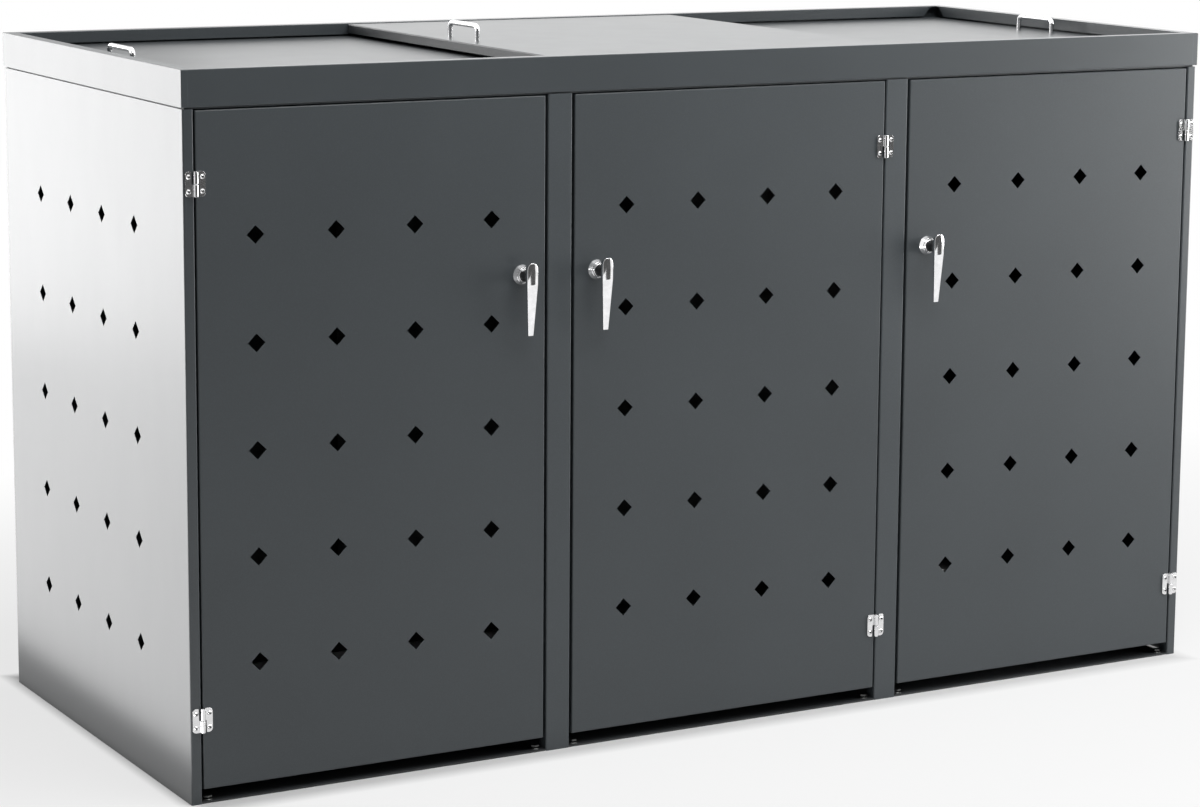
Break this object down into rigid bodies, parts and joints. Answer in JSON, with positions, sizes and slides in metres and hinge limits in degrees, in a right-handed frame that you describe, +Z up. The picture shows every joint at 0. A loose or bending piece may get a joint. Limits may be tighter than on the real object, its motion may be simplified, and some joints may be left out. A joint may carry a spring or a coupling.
{
  "type": "wheelie bin store",
  "caption": "Low sheet-steel wheelie bin store in a row of bays, with vented hinged doors, turning lever handles and flat lids that slide along rails under a raised rim.",
  "frame": {"origin": "on the ground under the middle of the store's plan, which is the centre of its four ground anchor holes", "axes": "+X along the row of doors to the right as seen from in front of them, +Y from the doors to the back, +Z up"},
  "size_m": [2, 0.879, 1.2085],
  "materials": {
    "anthracite_back": "semi gloss powder coat",
    "anthracite_base": "powder coat",
    "anthracite_door": "semi gloss powder coat",
    "anthracite_fascia": "semi gloss powder coat",
    "anthracite_lid": "semi gloss powder coat",
    "anthracite_post": "semi gloss powder coat",
    "anthracite_rail": "powder coat",
    "anthracite_side": "semi gloss powder coat",
    "bolt_zinc": "zinc plated",
    "cam_zinc": "zinc plated",
    "glide_nylon": "matte",
    "hinge_chrome": "polished",
    "lever_chrome": "polished",
    "neck_black": "satin",
    "pin_steel": "satin",
    "polished_pull": "polished",
    "rosette_chrome": "polished",
    "screw_steel": "satin"
  },
  "bodies": {
    "store": {"back_panel_left": "anthracite_back", "back_panel_mid": "anthracite_back", "back_panel_right": "anthracite_back", "back_post_left": "anthracite_post", "back_post_right": "anthracite_post", "base_bolts": "bolt_zinc", "cross_rail_left": "anthracite_rail", "cross_rail_right": "anthracite_rail", "fascia_back": "anthracite_fascia", "fascia_front": "anthracite_fascia", "fascia_left": "anthracite_fascia", "fascia_right": "anthracite_fascia", "floor_tie_left": "anthracite_base", "floor_tie_right": "anthracite_base", "front_post_left": "anthracite_post", "front_post_right": "anthracite_post", "hinge_frame_leaves": "hinge_chrome", "hinge_frame_screws": "screw_steel", "hinge_pins": "pin_steel", "lid_ledge_back": "anthracite_rail", "lid_ledge_front": "anthracite_rail", "rear_sills": "anthracite_base", "side_panel_left": "anthracite_side", "side_panel_right": "anthracite_side", "thresholds": "anthracite_base", "top_rail_back": "anthracite_rail", "top_rail_front": "anthracite_rail", "top_rail_left": "anthracite_rail", "top_rail_right": "anthracite_rail"},
    "door_left": {"door_left": "anthracite_door", "hinge_leaves_left": "hinge_chrome", "hinge_screws_left": "screw_steel", "rosette_left": "rosette_chrome"},
    "handle_left": {"lever_left": "lever_chrome", "neck_left": "neck_black", "cam_left": "cam_zinc"},
    "lid_left": {"lid_left": "anthracite_lid", "lid_glides_left": "glide_nylon", "lid_pull_left": "polished_pull"},
    "door_mid": {"door_mid": "anthracite_door", "hinge_leaves_mid": "hinge_chrome", "hinge_screws_mid": "screw_steel", "rosette_mid": "rosette_chrome"},
    "handle_mid": {"lever_mid": "lever_chrome", "neck_mid": "neck_black", "cam_mid": "cam_zinc"},
    "lid_mid": {"lid_mid": "anthracite_lid", "lid_glides_mid": "glide_nylon", "lid_pull_mid": "polished_pull"},
    "door_right": {"door_right": "anthracite_door", "hinge_leaves_right": "hinge_chrome", "hinge_screws_right": "screw_steel", "rosette_right": "rosette_chrome"},
    "handle_right": {"lever_right": "lever_chrome", "neck_right": "neck_black", "cam_right": "cam_zinc"},
    "lid_right": {"lid_right": "anthracite_lid", "lid_glides_right": "glide_nylon", "lid_pull_right": "polished_pull"}
  },
  "joints": [
    {"name": "door_left_swing", "type": "hinge", "parent": "store", "child": "door_left", "pos_m": [-0.9785, -0.4225, 0.57], "axis": [0, 0, -1], "range_deg": [0, 100]},
    {"name": "handle_left_turn", "type": "hinge", "parent": "door_left", "child": "handle_left", "pos_m": [-0.40467, -0.418, 0.821], "axis": [0, 1, 0], "range_deg": [0, 90]},
    {"name": "door_mid_swing", "type": "hinge", "parent": "store", "child": "door_mid", "pos_m": [0.31017, -0.4225, 0.57], "axis": [0, 0, 1], "range_deg": [0, 100]},
    {"name": "handle_mid_turn", "type": "hinge", "parent": "door_mid", "child": "handle_mid", "pos_m": [-0.26367, -0.418, 0.821], "axis": [0, -1, 0], "range_deg": [0, 90]},
    {"name": "door_right_swing", "type": "hinge", "parent": "store", "child": "door_right", "pos_m": [0.9785, -0.4225, 0.57], "axis": [0, 0, 1], "range_deg": [0, 100]},
    {"name": "handle_right_turn", "type": "hinge", "parent": "door_right", "child": "handle_right", "pos_m": [0.40467, -0.418, 0.821], "axis": [0, -1, 0], "range_deg": [0, 90]},
    {"name": "lid_left_slide", "type": "slide", "parent": "store", "child": "lid_left", "axis": [1, 0, 0], "range_m": [0, 0.58]},
    {"name": "lid_mid_slide", "type": "slide", "parent": "store", "child": "lid_mid", "axis": [1, 0, 0], "range_m": [-0.58, 0.58]},
    {"name": "lid_right_slide", "type": "slide", "parent": "store", "child": "lid_right", "axis": [1, 0, 0], "range_m": [-0.58, 0]}
  ]
}
